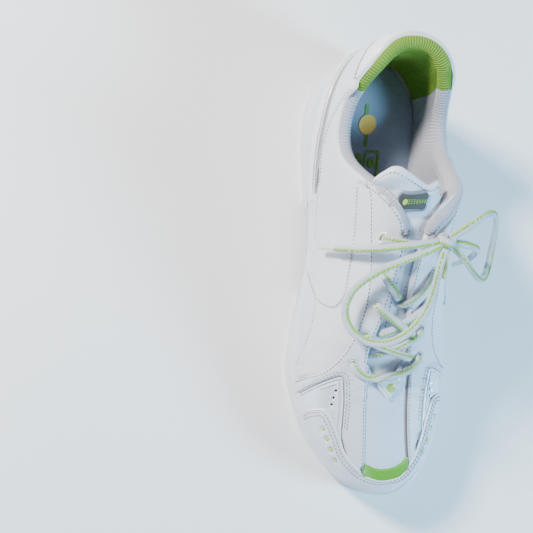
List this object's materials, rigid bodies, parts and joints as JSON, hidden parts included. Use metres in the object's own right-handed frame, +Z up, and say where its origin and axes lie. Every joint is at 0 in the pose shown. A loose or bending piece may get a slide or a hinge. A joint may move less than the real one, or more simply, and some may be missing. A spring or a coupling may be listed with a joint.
{
  "type": "bowling shoe",
  "caption": "Low laced athletic bowling shoe for the left foot, white leather upper with lime and silver trim, padded collar, stitched overlays, tied laces and a wedge sole.",
  "frame": {"origin": "centre of the sole, on the ground under it", "axes": "+Z up, heel towards +Y and toe towards -Y, +X to the lateral (outer) side of a left shoe"},
  "size_m": [0.1195, 0.2933, 0.1187],
  "materials": {
    "white_leather": "full-grain synthetic leather, fine pebble grain, semi-matt",
    "smooth_leather": "smooth glossy white synthetic leather",
    "pearl_panel": "pearl white coated panel",
    "silver_trim": "silver grey metallic coated trim",
    "green_trim": "lime green coated trim",
    "green_mesh": "lime green ribbed spacer mesh",
    "white_mesh": "white ribbed spacer mesh",
    "foam": "open cell collar foam",
    "textile_lining": "woven textile lining",
    "counter_board": "moulded thermoplastic stiffener",
    "eva": "white moulded EVA foam",
    "rubber_sole": "white moulded rubber",
    "shank_grey": "light grey moulded shank",
    "insole_fibre": "cellulose lasting board",
    "footbed_textile": "grey blue brushed textile over foam",
    "sticker": "yellow orange printed paper sticker",
    "label_grey": "dark grey woven label with a lighter rim",
    "lace": "white braided lace with a lime stitched line",
    "aglet_clear": "clear plastic lace tip",
    "silver_thread": "silver grey embroidery cord",
    "gold_tag": "yellow gold woven tag",
    "green_plug": "lime green moulded dot",
    "ring_white": "white plastic eyelet ring"
  },
  "bodies": {
    "shoe": {"vamp_panel": "white_leather", "eyestay_medial": "white_leather", "eyestay_lateral": "white_leather", "side_panel_medial": "white_leather", "side_panel_lateral": "white_leather", "quarter_medial": "white_leather", "quarter_lateral": "white_leather", "heel_overlay": "white_leather", "mudguard": "white_leather", "heel_tab": "smooth_leather", "window_medial": "pearl_panel", "window_lateral": "pearl_panel", "silver_heel_band": "silver_trim", "silver_arch_medial": "silver_trim", "silver_arch_lateral": "silver_trim", "toe_strip": "green_trim", "mudguard_plugs": "green_plug", "throat_tab": "smooth_leather", "throat_button": "green_plug", "side_tag": "gold_tag", "swirl_embroidery": "silver_thread", "heel_swirl": "silver_thread", "top_eyelet_rings": "ring_white", "vamp_lining": "textile_lining", "toe_puff": "counter_board", "eyestay_lining_medial": "textile_lining", "eyestay_lining_lateral": "textile_lining", "heel_counter": "counter_board", "collar_foam": "foam", "collar_lining_heel": "green_mesh", "collar_lining_medial": "white_mesh", "collar_lining_lateral": "white_mesh", "tongue_base": "white_leather", "insole_board": "insole_fibre", "footbed": "footbed_textile", "size_sticker": "sticker", "midsole": "eva", "heel_block": "eva", "forefoot_block": "eva", "shank_plate": "shank_grey", "heel_outsole": "rubber_sole", "forefoot_outsole": "rubber_sole", "lace_crossings": "lace", "lace_knot": "lace", "lace_loop_a": "lace", "lace_loop_b": "lace", "lace_end_a": "lace", "lace_end_b": "lace", "aglet_a": "aglet_clear", "aglet_b": "aglet_clear"},
    "tongue_top": {"tongue_flap": "white_leather", "tongue_label": "label_grey"}
  },
  "joints": [
    {"name": "tongue_flex", "type": "hinge", "parent": "shoe", "child": "tongue_top", "pos_m": [0, 0.034, 0.101], "axis": [1, 0, 0], "range_deg": [-22, 3], "stiffness_Nm_per_rad": 0.05}
  ]
}
